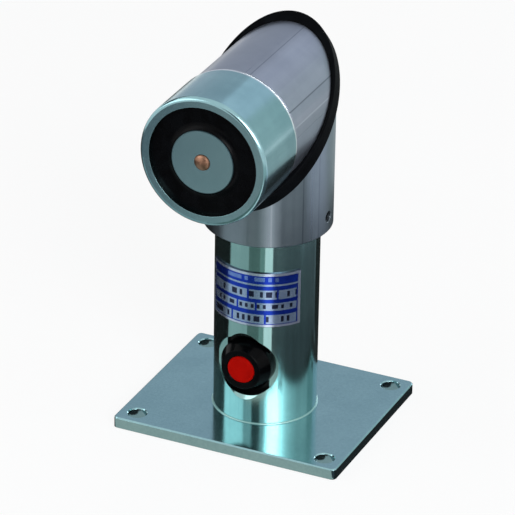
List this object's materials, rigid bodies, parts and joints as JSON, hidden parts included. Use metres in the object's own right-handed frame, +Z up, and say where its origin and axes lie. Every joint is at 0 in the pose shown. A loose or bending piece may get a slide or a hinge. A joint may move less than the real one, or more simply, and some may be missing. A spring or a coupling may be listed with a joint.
{
  "type": "magnetic door holder",
  "caption": "Floor-standing magnetic door holder: a plated pillar on a bolted plate, a mitred swivel elbow with a round holding magnet, and a red release button.",
  "frame": {"origin": "underside of the base plate, on the pillar tube's axis and at the centre of the bolt holes", "axes": "+Z up along the pillar; the magnet faces -Y; +X to the right seen from the magnet's side"},
  "size_m": [0.116, 0.1233, 0.1984],
  "materials": {
    "zinc_steel": "zinc plated",
    "grey_aluminium": "satin",
    "black_plastic": "satin",
    "red_plastic": "gloss",
    "label_plate": "printed",
    "copper": "plain",
    "brass": "plain",
    "spring_steel": "plain",
    "black_steel": "black oxide",
    "lead_sheath": "matte"
  },
  "bodies": {
    "base": {"base_plate": "zinc_steel", "pillar_tube": "zinc_steel", "foot_weld": "zinc_steel", "rating_label": "label_plate", "switch_block": "black_plastic", "switch_cover": "black_plastic", "switch_terminals": "brass", "button_bezel": "black_plastic", "button_spring": "spring_steel", "lower_elbow": "grey_aluminium", "elbow_set_screws": "black_steel", "mitre_disc": "black_plastic", "swivel_bolt": "zinc_steel", "thrust_washer": "zinc_steel", "swivel_washer": "zinc_steel", "spring_washer": "spring_steel", "swivel_nut": "zinc_steel", "coil_lead_lower": "lead_sheath"},
    "head": {"upper_elbow": "grey_aluminium", "head_set_screw": "black_steel", "magnet_pot": "zinc_steel", "magnet_core": "zinc_steel", "core_screw": "black_steel", "coil_bobbin": "black_plastic", "coil_winding": "copper", "coil_cover": "black_plastic", "ejector_spring": "spring_steel", "coil_lead_upper": "lead_sheath"},
    "button": {"button_cap": "red_plastic", "contact_bridge": "brass"},
    "pin": {"ejector_pin": "copper"}
  },
  "joints": [
    {"name": "head_swivel", "type": "hinge", "parent": "base", "child": "head", "pos_m": [0, 0, 0.1569], "axis": [0, -0.7071, 0.7071], "range_deg": [-180, 180]},
    {"name": "button_press", "type": "slide", "parent": "base", "child": "button", "axis": [0, 1, 0], "range_m": [0, 0.002], "stiffness_N_per_m": 600, "springref_m": -0.002, "deforming": ["button_spring"]},
    {"name": "ejector_press", "type": "slide", "parent": "head", "child": "pin", "axis": [0, 1, 0], "range_m": [0, 0.0016], "stiffness_N_per_m": 2000, "springref_m": -0.001, "deforming": ["ejector_spring"]}
  ]
}
